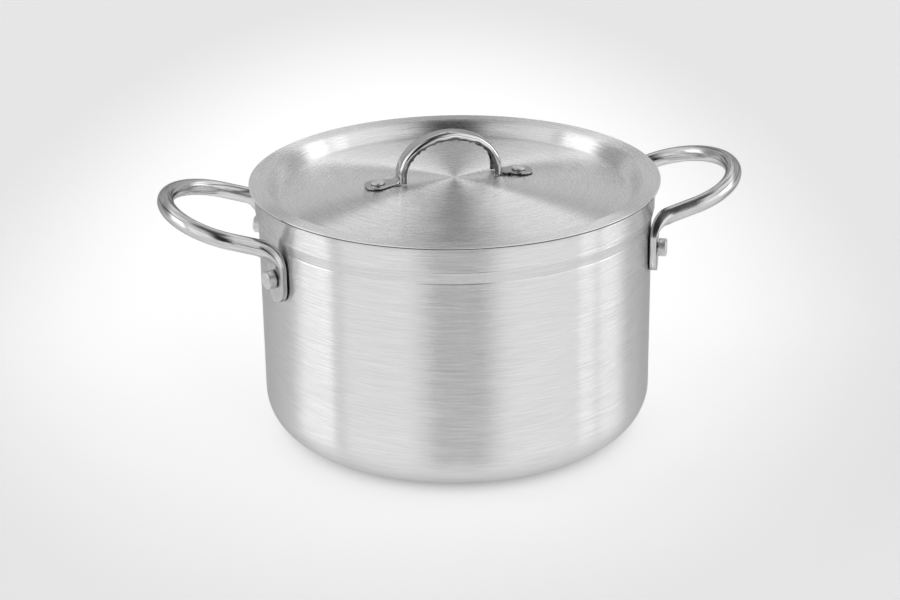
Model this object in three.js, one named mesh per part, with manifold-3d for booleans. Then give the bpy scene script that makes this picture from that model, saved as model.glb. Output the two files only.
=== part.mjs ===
// Casserole pot: a spun aluminium body with a recessed lid, two bent-rod loop handles and a strap handle on
// the lid, all held by rivets. Millimetres, +Z up. The origin is the middle of the underside of the base,
// and the side handles lie along X.
import * as THREE from "three";
import { mergeVertices } from "three/addons/utils/BufferGeometryUtils.js";
import Module from "manifold-3d";

// Pot body
const POT_RADIUS = 120; // outside of the straight wall
const POT_HEIGHT = 156.4;
const POT_WALL = 2.5;
const BASE_THICKNESS = 3.5;
const BASE_CORNER = 25; // outer radius between base and wall
const RIM_BAND = 15; // height of the wider band below the rim
const RIM_STEP = 1.6; // how far the band stands out from the wall
const STEP_HEIGHT = 7; // height of the slope from wall to band
const RIM_ROUND = 0.8;

// Lid
const LID_SHEET = 1.2;
const LID_OVERHANG = 3.4; // beyond the outside of the rim band
const LID_FLANGE = 8.5; // width of the flat flange
const LID_SLOPE = 11.5; // width of the slope from flange to floor
const LID_DEPTH = 8.9; // from flange down to the edge of the floor
const LID_CROWN = 8; // rise of the floor from its edge to its middle
const LID_SLOPE_EASE = 0.55; // share of the slope over which it runs on from the floor and the flange
const LID_TURN = THREE.MathUtils.degToRad(5); // the lid lies loose, turned a little from the side handles

// Side handles
const ROD_DIAMETER = 10;
const HANDLE_WIDTH = 94; // between the middles of the two legs
const HANDLE_REACH = 55; // from the wall to the middle of the rod at the outer end
const HANDLE_END_DEPTH = 37; // length of the rounded outer end
const HANDLE_SKEW = THREE.MathUtils.degToRad(2); // each handle is set a little to the rear of the X axis
const HANDLE_RISE = THREE.MathUtils.degToRad(16.5);
const HANDLE_TILT = THREE.MathUtils.degToRad(1.6); // the right loop's front leg is riveted on a little higher
const HANDLE_BEND = 11; // from the corner between tab and leg to where each is straight
const TAB_WIDTH = 19;
const TAB_THICKNESS = 4.2;
const TAB_EXPONENT = 5; // of the tab's section: 2 is an ellipse, and more is squarer
const TAB_BELOW_RIVET = 14.5;
const TAB_ABOVE_RIVET = 17; // up to the corner with the leg
const TAB_BELOW_STEP = 0.4; // from the foot of the rim slope down to that corner

// Rivets of the side handles
const HANDLE_RIVET_SHANK = 6;
const HANDLE_RIVET_HEAD = 11;
const HANDLE_RIVET_HEAD_HEIGHT = 5;
const HANDLE_RIVET_STANDOFF = 0.8; // the outer head stands clear of the tab
const HANDLE_RIVET_CLINCH = 10;
const HANDLE_RIVET_CLINCH_HEIGHT = 2;

// Lid handle
const STRAP_SHEET = 1.2;
const STRAP_WIDTH = 12;
const STRAP_DEPTH = 5.5; // of its channel section
const STRAP_EXPONENT = 4; // of that section: 2 is half an ellipse, and more is squarer
const STRAP_EDGE = THREE.MathUtils.degToRad(1); // short of the full half turn, at each edge
const CHANNEL_START = 0.5; // share of the foot's bend after which the strap turns into a channel
const ARCH_WIDTH = 65; // outside, at the feet
const ARCH_HEIGHT = 28.5; // outside, above the feet
const ARCH_OFFSET = 2.9; // the handle is riveted on a little to the left of the lid's middle
const ARCH_BACK = 2.4; // and a little to its rear
const FOOT_BEND = 3;
const FOOT_LENGTH = 20; // from the outside of the arch to the foot's end
const FOOT_WIDTH = 16;
const NECK_WIDTH = 10; // of the foot where it meets the arch
const FOOT_RIVET_INSET = 8.3; // from the foot's end to the rivet

// Rivets of the lid handle
const LID_RIVET_SHANK = 4.5;
const LID_RIVET_HEAD = 8.5;
const LID_RIVET_HEAD_HEIGHT = 1.6;
const LID_RIVET_CLINCH = 8;
const LID_RIVET_CLINCH_HEIGHT = 1.4;

// Clearances
const SEAT_GAP = 0.3; // between pieces that lie against each other
const HOLE_CLEARANCE = 0.3; // around a rivet's shank

// Smoothness of the round forms
const POT_SEGMENTS = 60;
const RIVET_SEGMENTS = 16;
const EDGE_STEPS = 2; // of a small rounded edge
const ARC_STEPS = 5;
const CURVE_STEPS = 6;
const ROD_SIDES = 14;
const ELLIPSE_EXPONENT = 2;
const STRAP_POINTS = 9; // across each face of the strap
const NECK_STEPS = 4;
const END_START = THREE.MathUtils.degToRad(9); // first ring of a rounded end, off its tip
const DRILL_LENGTH = 6; // times the sheet that a drill goes through
const MERGE_DISTANCE = 1e-4;

// Sizes that follow from the ones above
const rimRadius = POT_RADIUS + RIM_STEP;
const stepTop = POT_HEIGHT - RIM_BAND;
const stepBottom = stepTop - STEP_HEIGHT;
const innerRadius = POT_RADIUS - POT_WALL;
const lidRadius = rimRadius + LID_OVERHANG;
const flangeInner = lidRadius - LID_FLANGE;
const flangeTop = POT_HEIGHT + SEAT_GAP + LID_SHEET;
const floorRadius = flangeInner - LID_SLOPE;
const floorEdge = flangeTop - LID_DEPTH;
const tabMiddle = POT_RADIUS + SEAT_GAP + TAB_THICKNESS / 2;
const tabAngle = Math.asin(HANDLE_WIDTH / 2 / tabMiddle);
const tabCorner = stepBottom - TAB_BELOW_STEP;
const handleRivetHeight = tabCorner - TAB_ABOVE_RIVET;
const footEnd = ARCH_WIDTH / 2 + FOOT_LENGTH;
const lidRivetReach = footEnd - FOOT_RIVET_INSET;

const wasm = await Module();
wasm.setup();

// A closed geometry as a solid for joining and cutting.
function solidFrom(geometry) {
  const bare = new THREE.BufferGeometry();
  bare.setAttribute("position", geometry.getAttribute("position"));
  bare.setIndex(geometry.index);
  const merged = mergeVertices(bare, MERGE_DISTANCE);
  const vertProperties = merged.getAttribute("position").array;
  const triVerts = new Uint32Array(merged.index.array);
  return new wasm.Manifold(new wasm.Mesh({ numProp: 3, vertProperties, triVerts }));
}

function geometryFrom(solid) {
  const { vertProperties, triVerts } = solid.getMesh();
  const geometry = new THREE.BufferGeometry();
  geometry.setAttribute("position", new THREE.BufferAttribute(vertProperties, 3));
  geometry.setIndex(new THREE.BufferAttribute(triVerts, 1));
  geometry.computeVertexNormals();
  return geometry;
}

function cut(geometry, tools) {
  const cutter = (rest, tool) => rest.subtract(solidFrom(tool));
  return geometryFrom(tools.reduce(cutter, solidFrom(geometry)));
}

// A profile of radius and height points, turned about Z.
function turned(profile, segments) {
  return new THREE.LatheGeometry(profile, segments).rotateX(Math.PI / 2);
}

// A closed surface over rings with equal counts of points, with a flat cap on the first and last.
function loft(rings) {
  const count = rings[0].length;
  const index = [];
  const quad = (a, b, c, d) => index.push(a, b, c, a, c, d);
  for (let ring = 0; ring + 1 < rings.length; ring++) {
    for (let side = 0; side < count; side++) {
      const here = ring * count;
      const next = (side + 1) % count;
      quad(here + side, here + next, here + count + next, here + count + side);
    }
  }
  const last = (rings.length - 1) * count;
  for (let side = 0; side + 1 < count / 2; side++) {
    const across = count - 1 - side;
    quad(across, across - 1, side + 1, side);
    quad(last + side, last + side + 1, last + across - 1, last + across);
  }
  const geometry = new THREE.BufferGeometry().setFromPoints(rings.flat());
  geometry.setIndex(index);
  geometry.computeVertexNormals();
  return geometry;
}

// Points on a circle about a centre, from one angle to another in degrees.
function arc(x, y, radius, from, to, steps) {
  const points = [];
  for (let step = 0; step <= steps; step++) {
    const angle = THREE.MathUtils.degToRad(from + ((to - from) * step) / steps);
    points.push(new THREE.Vector2(x + radius * Math.cos(angle), y + radius * Math.sin(angle)));
  }
  return points;
}

// A straight round cutter along a direction, through a point.
function drill(point, direction, diameter, length) {
  const tool = new THREE.CylinderGeometry(diameter / 2, diameter / 2, length, RIVET_SEGMENTS);
  const turn = new THREE.Quaternion().setFromUnitVectors(new THREE.Vector3(0, 1, 0), direction);
  return tool.applyQuaternion(turn).translate(point.x, point.y, point.z);
}

function material(color, roughness) {
  return new THREE.MeshStandardMaterial({ color, roughness, metalness: 1 });
}

const brushedAluminium = material(0xc9cbcc, 0.36);
const polishedSteel = material(0xd6d8da, 0.12);
const rivetAluminium = material(0xbcbebf, 0.42);

function piece(name, geometry, finish) {
  const mesh = new THREE.Mesh(geometry, finish);
  mesh.name = name;
  return mesh;
}

// The places of the two tabs of a handle: their direction from the pot's axis.
function tabDirection(side) {
  return new THREE.Vector3(Math.cos(tabAngle), side * Math.sin(tabAngle), 0);
}

// The turn that carries a handle on the X axis to each side and its tilt, and the sides of its two tabs.
const HANDLES = {
  right: { turn: HANDLE_SKEW, tilt: HANDLE_TILT },
  left: { turn: Math.PI - HANDLE_SKEW, tilt: 0 },
};
const TAB_SIDES = [-1, 1];

// How far a tilted handle is raised at a distance across it, from its middle.
function tiltLift(across, tilt) {
  return -across * Math.tan(tilt);
}

function rivetHeight(side, tilt) {
  return handleRivetHeight + tiltLift((side * HANDLE_WIDTH) / 2, tilt);
}

function makePotBody() {
  const corner = POT_RADIUS - BASE_CORNER;
  const innerCorner = BASE_CORNER - POT_WALL;
  const rimInner = rimRadius - POT_WALL;
  const profile = [
    new THREE.Vector2(0, 0),
    ...arc(corner, BASE_CORNER, BASE_CORNER, -90, 0, ARC_STEPS),
    new THREE.Vector2(POT_RADIUS, stepBottom),
    new THREE.Vector2(rimRadius, stepTop),
    ...arc(rimRadius - RIM_ROUND, POT_HEIGHT - RIM_ROUND, RIM_ROUND, 0, 90, EDGE_STEPS),
    ...arc(rimInner + RIM_ROUND, POT_HEIGHT - RIM_ROUND, RIM_ROUND, 90, 180, EDGE_STEPS),
    new THREE.Vector2(rimInner, stepTop),
    new THREE.Vector2(innerRadius, stepBottom),
    ...arc(corner, BASE_THICKNESS + innerCorner, innerCorner, 0, -90, ARC_STEPS),
    new THREE.Vector2(0, BASE_THICKNESS),
  ];
  const holes = [];
  for (const { turn, tilt } of Object.values(HANDLES)) {
    for (const side of TAB_SIDES) {
      const direction = tabDirection(side).applyAxisAngle(new THREE.Vector3(0, 0, 1), turn);
      const point = direction.clone().multiplyScalar(POT_RADIUS - POT_WALL / 2);
      point.z = rivetHeight(side, tilt);
      holes.push(drill(point, direction, HANDLE_RIVET_SHANK + 2 * HOLE_CLEARANCE, DRILL_LENGTH * POT_WALL));
    }
  }
  return piece("pot_body", cut(turned(profile, POT_SEGMENTS), holes), brushedAluminium);
}

// Half the centreline of a handle on the X axis, from the lower end of its tab to the middle of the loop.
function handlePath(side, tilt) {
  const tabX = tabMiddle * Math.cos(tabAngle);
  const y = (side * HANDLE_WIDTH) / 2;
  const rise = Math.tan(HANDLE_RISE);
  const outerX = POT_RADIUS + HANDLE_REACH;
  const endX = outerX - HANDLE_END_DEPTH;
  const onLoop = (x, across) => {
    return new THREE.Vector3(x, across, tabCorner + (x - tabX) * rise + tiltLift(across, tilt));
  };
  const tabEnd = new THREE.Vector3(tabX, y, rivetHeight(side, tilt) - TAB_BELOW_RIVET);
  const bendStart = new THREE.Vector3(tabX, y, tabCorner - HANDLE_BEND + tiltLift(y, tilt));
  const bendEnd = onLoop(tabX + HANDLE_BEND * Math.cos(HANDLE_RISE), y);
  const round = 0.5523; // of a quarter ellipse drawn as one cubic curve
  return {
    tab: new THREE.LineCurve3(tabEnd, bendStart),
    bend: new THREE.QuadraticBezierCurve3(bendStart, onLoop(tabX, y), bendEnd),
    leg: new THREE.LineCurve3(bendEnd, onLoop(endX, y)),
    end: new THREE.CubicBezierCurve3(
      onLoop(endX, y),
      onLoop(endX + HANDLE_END_DEPTH * round, y),
      onLoop(outerX, y * round),
      onLoop(outerX, 0),
    ),
  };
}

// A cosine or sine bent so that the two draw a rounded square instead of a circle.
function bulge(value, exponent) {
  return Math.sign(value) * Math.abs(value) ** (ELLIPSE_EXPONENT / exponent);
}

// A ring around the rod: flat and wide on the tab, round on the loop, and squarer the flatter it is. What
// would reach behind the tab's inner face lies on that face.
function rodRing(middle, tangent, outward, roundness, halfWidth) {
  const width = THREE.MathUtils.lerp(halfWidth, ROD_DIAMETER / 2, roundness);
  const thickness = THREE.MathUtils.lerp(TAB_THICKNESS / 2, ROD_DIAMETER / 2, roundness);
  const squareness = THREE.MathUtils.lerp(TAB_EXPONENT, ELLIPSE_EXPONENT, roundness);
  const across = new THREE.Vector3().crossVectors(tangent, outward).normalize();
  const out = new THREE.Vector3().crossVectors(across, tangent);
  const ring = [];
  for (let side = 0; side < ROD_SIDES; side++) {
    const angle = ((side + 0.5) * 2 * Math.PI) / ROD_SIDES;
    const point = middle.clone();
    point.addScaledVector(out, thickness * bulge(Math.cos(angle), squareness));
    point.addScaledVector(across, width * bulge(Math.sin(angle), squareness));
    const behind = POT_RADIUS + SEAT_GAP - point.dot(outward);
    if (behind > 0) point.addScaledVector(outward, behind);
    ring.push(point);
  }
  return ring;
}

// Rings from a tab's rounded lower end, up and round to the middle of the loop.
function halfHandleRings(side, tilt) {
  const path = handlePath(side, tilt);
  const outward = tabDirection(side);
  const rings = [];
  const addRing = (curve, part, roundness, halfWidth) => {
    rings.push(rodRing(curve.getPoint(part), curve.getTangent(part), outward, roundness, halfWidth));
  };
  const tabLength = path.tab.getLength();
  const endRound = TAB_WIDTH / 2;
  for (let step = 0; step <= ARC_STEPS; step++) {
    const angle = THREE.MathUtils.lerp(END_START, Math.PI / 2, step / ARC_STEPS);
    const part = (endRound * (1 - Math.cos(angle))) / tabLength;
    addRing(path.tab, part, 0, endRound * Math.sin(angle));
  }
  for (let step = 0; step <= CURVE_STEPS; step++) {
    const part = step / CURVE_STEPS;
    addRing(path.bend, part, THREE.MathUtils.smoothstep(part, 0, 1), endRound);
  }
  addRing(path.leg, 0.5, 1, endRound);
  for (let step = 0; step <= CURVE_STEPS; step++) addRing(path.end, step / CURVE_STEPS, 1, endRound);
  return rings;
}

function makeSideHandle(name) {
  const { turn, tilt } = HANDLES[name];
  const front = halfHandleRings(-1, tilt);
  const rear = halfHandleRings(1, tilt);
  // Seen along the rod, a ring of the rear half runs the other way round and starts on the other side.
  const turnedBack = rear.slice(0, -1).reverse();
  const rings = [...front, ...turnedBack.map((ring) => ring.slice().reverse())];
  const holes = TAB_SIDES.map((side) => {
    const direction = tabDirection(side);
    const point = direction.clone().multiplyScalar(tabMiddle);
    point.z = rivetHeight(side, tilt);
    return drill(point, direction, HANDLE_RIVET_SHANK + 2 * HOLE_CLEARANCE, DRILL_LENGTH * TAB_THICKNESS);
  });
  const handle = piece("side_handle_" + name, cut(loft(rings), holes), polishedSteel);
  handle.rotation.z = turn;
  return handle;
}

// A rivet along Z: shank from the inner head's seat at 0 up to the outer head's seat, and a rounded head on
// each end.
function rivetProfile(shank, grip, head, headHeight, clinch, clinchHeight) {
  const edge = Math.min(headHeight / 2, (head - shank) / 4);
  const clinchEdge = Math.min(clinchHeight / 2, (clinch - shank) / 4);
  return [
    new THREE.Vector2(0, -clinchHeight),
    ...arc(clinch / 2 - clinchEdge, clinchEdge - clinchHeight, clinchEdge, -90, 0, EDGE_STEPS),
    new THREE.Vector2(clinch / 2, 0),
    new THREE.Vector2(shank / 2, 0),
    new THREE.Vector2(shank / 2, grip),
    new THREE.Vector2(head / 2, grip),
    ...arc(head / 2 - edge, grip + headHeight - edge, edge, 0, 90, EDGE_STEPS),
    new THREE.Vector2(0, grip + headHeight),
  ];
}

function makeHandleRivets() {
  // The flat inner head touches the hollow of the wall at its rim.
  const hollow = innerRadius - Math.sqrt(innerRadius ** 2 - (HANDLE_RIVET_CLINCH / 2) ** 2);
  const innerSeat = innerRadius - hollow - SEAT_GAP;
  const outerSeat = POT_RADIUS + SEAT_GAP + TAB_THICKNESS + HANDLE_RIVET_STANDOFF;
  const profile = rivetProfile(
    HANDLE_RIVET_SHANK,
    outerSeat - innerSeat,
    HANDLE_RIVET_HEAD,
    HANDLE_RIVET_HEAD_HEIGHT,
    HANDLE_RIVET_CLINCH,
    HANDLE_RIVET_CLINCH_HEIGHT,
  );
  const geometry = turned(profile, RIVET_SEGMENTS);
  const rivets = [];
  for (const [name, { turn, tilt }] of Object.entries(HANDLES)) {
    for (const side of TAB_SIDES) {
      const direction = tabDirection(side).applyAxisAngle(new THREE.Vector3(0, 0, 1), turn);
      const place = direction.y < 0 ? "_front" : "_rear";
      const rivet = piece("handle_rivet_" + name + place, geometry, rivetAluminium);
      rivet.position.copy(direction).multiplyScalar(innerSeat);
      rivet.position.z = rivetHeight(side, tilt);
      rivet.quaternion.setFromUnitVectors(new THREE.Vector3(0, 0, 1), direction);
      rivets.push(rivet);
    }
  }
  return rivets;
}

// Height of the upper face of the lid's floor, which crowns like a shallow dome, at a distance from the
// middle.
function floorHeight(x) {
  return floorEdge + LID_CROWN * (1 - (x / floorRadius) ** 2);
}

function floorSlope(x) {
  return (-2 * LID_CROWN * x) / floorRadius ** 2;
}

// The upper face of the lid from its middle to the edge of the flange.
function lidTop() {
  const top = [];
  for (let step = 0; step < CURVE_STEPS; step++) {
    const radius = (floorRadius * step) / CURVE_STEPS;
    top.push(new THREE.Vector2(radius, floorHeight(radius)));
  }
  const pull = LID_SLOPE * LID_SLOPE_EASE;
  const slope = new THREE.CubicBezierCurve(
    new THREE.Vector2(floorRadius, floorEdge),
    new THREE.Vector2(floorRadius + pull, floorEdge + pull * floorSlope(floorRadius)),
    new THREE.Vector2(flangeInner - pull, flangeTop),
    new THREE.Vector2(flangeInner, flangeTop),
  );
  top.push(...slope.getPoints(CURVE_STEPS));
  top.push(new THREE.Vector2(lidRadius - LID_SHEET / 2, flangeTop));
  return top;
}

// A sheet of even thickness below a line of points, with the rounded edge of the sheet at the far end.
function sheetProfile(top, sheet) {
  const under = top.map((point, index) => {
    const before = top[Math.max(index - 1, 0)];
    const after = top[Math.min(index + 1, top.length - 1)];
    const along = after.clone().sub(before).normalize();
    const normal = index === 0 ? new THREE.Vector2(0, 1) : new THREE.Vector2(-along.y, along.x);
    return point.clone().addScaledVector(normal, -sheet);
  });
  const edge = top[top.length - 1];
  const round = arc(edge.x, edge.y - sheet / 2, sheet / 2, -90, 90, EDGE_STEPS).slice(1, -1);
  return [...under, ...round, ...top.slice().reverse()];
}

// Middle of a foot's rivet on the lid's upper face and the direction square to that face.
function lidRivetSeat(side) {
  const x = side * lidRivetReach - ARCH_OFFSET;
  const normal = new THREE.Vector3(-floorSlope(x), -floorSlope(ARCH_BACK), 1).normalize();
  return { point: new THREE.Vector3(x, ARCH_BACK, floorHeight(Math.hypot(x, ARCH_BACK))), normal };
}

const FOOT_SIDES = { right: 1, left: -1 };

function makeLid() {
  const holes = Object.values(FOOT_SIDES).map((side) => {
    const { point, normal } = lidRivetSeat(side);
    return drill(point, normal, LID_RIVET_SHANK + 2 * HOLE_CLEARANCE, DRILL_LENGTH * LID_SHEET);
  });
  const blank = turned(sheetProfile(lidTop(), LID_SHEET), POT_SEGMENTS);
  return piece("lid", cut(blank, holes), brushedAluminium);
}

// A ring around the strap: its outer face is a channel that flattens where the depth is nothing.
function strapRing(middle, out, halfWidth, depth) {
  const across = new THREE.Vector3(0, 1, 0);
  const slant = STRAP_EXPONENT / (STRAP_EXPONENT - 1); // draws the normals of the section
  const outer = [];
  const inner = [];
  for (let step = 0; step < STRAP_POINTS; step++) {
    const angle = THREE.MathUtils.lerp(STRAP_EDGE, Math.PI - STRAP_EDGE, step / (STRAP_POINTS - 1));
    const side = bulge(Math.cos(angle), STRAP_EXPONENT);
    const rise = bulge(Math.sin(angle), STRAP_EXPONENT);
    const normalAcross = depth * bulge(Math.cos(angle), slant);
    const normalOut = halfWidth * bulge(Math.sin(angle), slant);
    const normal = new THREE.Vector2(normalAcross, normalOut).normalize();
    const point = middle.clone();
    point.addScaledVector(across, halfWidth * side);
    point.addScaledVector(out, depth * (rise - 1));
    const below = point.clone();
    below.addScaledVector(across, -STRAP_SHEET * normal.x);
    below.addScaledVector(out, -STRAP_SHEET * normal.y);
    outer.push(point);
    inner.push(below);
  }
  return [...outer, ...inner.reverse()];
}

// Half width of a foot at a distance from its rounded end: wide around the rivet, narrow at the neck.
function footHalfWidth(distance) {
  const wide = FOOT_WIDTH / 2;
  if (distance < wide) return Math.sqrt(wide ** 2 - (wide - distance) ** 2);
  const part = (distance - wide) / Math.max(FOOT_LENGTH - FOOT_BEND - wide, FOOT_BEND);
  return THREE.MathUtils.lerp(wide, NECK_WIDTH / 2, THREE.MathUtils.smoothstep(part, 0, 1));
}

// Rings of the strap from the end of one foot up to the top of the arch. Each place is given by its distance
// from the arch's middle, its height, and the direction its outer face looks in.
function halfStrapRings(side) {
  const rings = [];
  const arch = ARCH_WIDTH / 2;
  const bendStart = arch + FOOT_BEND;
  const footTop = (reach, ofSide) => floorHeight(ofSide * reach - ARCH_OFFSET) + SEAT_GAP + STRAP_SHEET;
  const ring = (reach, z, outReach, outZ, halfWidth, depth) => {
    const middle = new THREE.Vector3(side * reach - ARCH_OFFSET, ARCH_BACK, z);
    const out = new THREE.Vector3(side * outReach, 0, outZ).normalize();
    rings.push(strapRing(middle, out, halfWidth, depth));
  };
  const footRing = (distance) => {
    const reach = footEnd - distance;
    const slope = side * floorSlope(side * reach - ARCH_OFFSET);
    ring(reach, footTop(reach, side), -slope, 1, footHalfWidth(distance), 0);
  };
  const wide = FOOT_WIDTH / 2;
  for (let step = 0; step <= ARC_STEPS; step++) {
    footRing(wide * (1 - Math.cos(THREE.MathUtils.lerp(END_START, Math.PI / 2, step / ARC_STEPS))));
  }
  for (let step = 1; step <= NECK_STEPS; step++) {
    footRing(THREE.MathUtils.lerp(wide, footEnd - bendStart, step / NECK_STEPS));
  }
  const spring = footTop(bendStart, side) + FOOT_BEND;
  for (let step = 1; step <= ARC_STEPS; step++) {
    const part = step / ARC_STEPS;
    const angle = (part * Math.PI) / 2;
    const reach = bendStart - FOOT_BEND * Math.sin(angle);
    const z = spring - FOOT_BEND * Math.cos(angle);
    const halfWidth = THREE.MathUtils.lerp(NECK_WIDTH, STRAP_WIDTH, part) / 2;
    const depth = STRAP_DEPTH * THREE.MathUtils.smoothstep(part, CHANNEL_START, 1);
    ring(reach, z, Math.sin(angle), Math.cos(angle), halfWidth, depth);
  }
  const top = Math.max(footTop(bendStart, 1), footTop(bendStart, -1)) + ARCH_HEIGHT;
  const height = top - spring;
  for (let step = 1; step <= 2 * CURVE_STEPS; step++) {
    const angle = ((step / (2 * CURVE_STEPS)) * Math.PI) / 2;
    const reach = arch * Math.cos(angle);
    const z = spring + height * Math.sin(angle);
    ring(reach, z, height * Math.cos(angle), arch * Math.sin(angle), STRAP_WIDTH / 2, STRAP_DEPTH);
  }
  return rings;
}

function makeLidHandle() {
  const rings = [...halfStrapRings(-1), ...halfStrapRings(1).slice(0, -1).reverse()];
  const holes = Object.values(FOOT_SIDES).map((side) => {
    const { point, normal } = lidRivetSeat(side);
    return drill(point, normal, LID_RIVET_SHANK + 2 * HOLE_CLEARANCE, DRILL_LENGTH * STRAP_SHEET);
  });
  return piece("lid_handle", cut(loft(rings), holes), polishedSteel);
}

function makeLidRivets() {
  const grip = LID_SHEET + SEAT_GAP + STRAP_SHEET + 2 * SEAT_GAP;
  const profile = rivetProfile(
    LID_RIVET_SHANK,
    grip,
    LID_RIVET_HEAD,
    LID_RIVET_HEAD_HEIGHT,
    LID_RIVET_CLINCH,
    LID_RIVET_CLINCH_HEIGHT,
  );
  const geometry = turned(profile, RIVET_SEGMENTS);
  return Object.entries(FOOT_SIDES).map(([name, side]) => {
    const { point, normal } = lidRivetSeat(side);
    const rivet = piece("lid_rivet_" + name, geometry, rivetAluminium);
    rivet.position.copy(point).addScaledVector(normal, -LID_SHEET - SEAT_GAP);
    rivet.quaternion.setFromUnitVectors(new THREE.Vector3(0, 0, 1), normal);
    return rivet;
  });
}

const pot = new THREE.Group();
pot.add(makePotBody(), ...Object.keys(HANDLES).map(makeSideHandle), ...makeHandleRivets());

const lid = new THREE.Group();
lid.add(makeLid(), makeLidHandle(), ...makeLidRivets());
lid.rotation.z = LID_TURN;

const casserole = new THREE.Group();
casserole.add(pot, lid);

export default casserole;
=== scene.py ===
"""A casserole pot of brushed aluminium: recessed lid, two rod loop handles and a strap handle on the lid.

Metres, +Z up. The origin is the middle of the underside of the base, and the side handles lie along X.
"""
import math

import bpy
from mathutils import Matrix, Vector


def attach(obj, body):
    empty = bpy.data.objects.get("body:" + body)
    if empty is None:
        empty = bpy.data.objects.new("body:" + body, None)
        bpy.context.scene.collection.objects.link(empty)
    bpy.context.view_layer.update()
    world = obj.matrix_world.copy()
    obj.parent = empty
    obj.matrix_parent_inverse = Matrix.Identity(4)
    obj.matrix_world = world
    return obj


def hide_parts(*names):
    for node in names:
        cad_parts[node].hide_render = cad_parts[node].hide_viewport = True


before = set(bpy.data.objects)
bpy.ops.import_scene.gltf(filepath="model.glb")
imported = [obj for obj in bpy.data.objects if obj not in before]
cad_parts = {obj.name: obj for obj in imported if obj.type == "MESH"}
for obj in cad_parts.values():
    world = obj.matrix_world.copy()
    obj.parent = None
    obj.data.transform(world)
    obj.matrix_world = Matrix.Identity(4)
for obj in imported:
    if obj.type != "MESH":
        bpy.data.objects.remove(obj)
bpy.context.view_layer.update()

# Pot body
POT_RADIUS = 0.120
POT_HEIGHT = 0.1564
POT_WALL = 0.0025
BASE_THICKNESS = 0.0035
BASE_CORNER = 0.025
RIM_BAND = 0.015
RIM_STEP = 0.0016
STEP_HEIGHT = 0.007
RIM_ROUND = 0.0008
CREASE_ROUND = 0.002  # where the wall meets the slope under the rim band, on the inside
BAND_ROUND = 0.003  # where that slope meets the band, on the inside too
GROOVE_DEPTH = 0.0003  # of the spun line between wall and slope
GROOVE_HEIGHT = 0.0005
GROOVE_BORDER = 0.0003  # over which the shading turns from a smooth face into a groove
LINE_DEPTH = 0.00012  # of the finer line between slope and band
LINE_HEIGHT = 0.0006

# Lid
LID_SHEET = 0.0012
LID_OVERHANG = 0.0034
LID_FLANGE = 0.0085
LID_SLOPE = 0.0115
LID_DEPTH = 0.0089
LID_CROWN = 0.008
LID_SLOPE_EASE = 0.47
LID_TURN = math.radians(5)
LIP_FACE = 0.0006  # height of the bright cut face at the lid's edge, above the part of the edge that is painted in shade
LIP_SLANT = 0.0001  # how far the face and the shade-painted part under it each lean back
LIP_ROUND = 0.0002
SHADE_START = 0.00003  # height over which the painted shade turns into the bright face
SHADE_REACH = 4  # points of the underside, from the lip, that are painted in shade too
RIPPLE_HEIGHT = 0.00007  # of the spun rings on the lid's slope
RIPPLE_COUNT = 4

# Side handles
ROD_DIAMETER = 0.010
HANDLE_WIDTH = 0.094
HANDLE_REACH = 0.055
HANDLE_END_DEPTH = 0.037
HANDLE_SKEW = math.radians(2)
HANDLE_RISE = math.radians(16.5)
HANDLE_TILT = math.radians(1.6)  # the right loop's front leg is riveted on a little higher
HANDLE_BEND = 0.011
TAB_WIDTH = 0.019
TAB_THICKNESS = 0.0042
TAB_EXPONENT = 9
TAB_BELOW_RIVET = 0.0145
TAB_ABOVE_RIVET = 0.017
TAB_BELOW_STEP = 0.0004
QUARTER_ELLIPSE = 0.5523  # reach of the handles of a cubic curve that draws one

# Rivets of the side handles
HANDLE_RIVET_SHANK = 0.006
HANDLE_RIVET_HEAD = 0.011
HANDLE_RIVET_HEAD_HEIGHT = 0.005
HANDLE_RIVET_STANDOFF = 0.0008
HANDLE_RIVET_CLINCH = 0.010
HANDLE_RIVET_CLINCH_HEIGHT = 0.002
HANDLE_RIVET_ROUND = 0.0012
HANDLE_RIVET_DOME = 0.0003

# Lid handle
STRAP_SHEET = 0.0012
STRAP_WIDTH = 0.012
STRAP_DEPTH = 0.0055
STRAP_EXPONENT = 4.4
STRAP_EDGE = math.radians(1)
ARCH_WIDTH = 0.065
ARCH_HEIGHT = 0.0285
ARCH_OFFSET = 0.0029
ARCH_BACK = 0.0024
FOOT_BEND = 0.003
FOOT_LENGTH = 0.020
FOOT_WIDTH = 0.016
FOOT_EXPONENT = 2.6
NECK_WIDTH = 0.010
FOOT_RIVET_INSET = 0.0083
LEG_CLEARANCE = 0.0008  # from the lid up to the cut ends of the channel's sides
LEG_STEPS = 3
CRINKLE_HEIGHT = 0.0005  # of the buckled edges of the channel
CRINKLE_WAVES = ((31, 0.6, 1.0), (47, 2.1, 0.7), (19, 0.0, 0.4))  # count over the arch, start and share
CRINKLE_LEAST = 0.35  # share of the height that is left at the top of the arch
CRINKLE_REACH = 1.4  # how fast the waves die out from an edge to the channel's face
CRINKLE_SPREAD = 0.6  # share of a wave that goes sideways
FOOT_TURN = math.radians(72)  # over which a foot bends up into the channel's face
FOOT_TAIL = 0.0012  # straight end of a foot inside that face
TAIL_WIDTH = 0.0090
TAIL_SHEET = 0.0006

# Rivets of the lid handle
LID_RIVET_SHANK = 0.0045
LID_RIVET_HEAD = 0.0085
LID_RIVET_HEAD_HEIGHT = 0.0016
LID_RIVET_CLINCH = 0.008
LID_RIVET_CLINCH_HEIGHT = 0.0014
LID_RIVET_ROUND = 0.0006
LID_RIVET_DOME = 0.0005
LID_RIVET_GAPS = 3  # clearances along its grip: under the lid, under the foot and under the head

# Inner heads of all rivets
CLINCH_SHOULDER = 0.8  # height of their rounded edge, as a share of the head's height

# Clearance between pieces that lie against each other
SEAT_GAP = 0.0003

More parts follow.
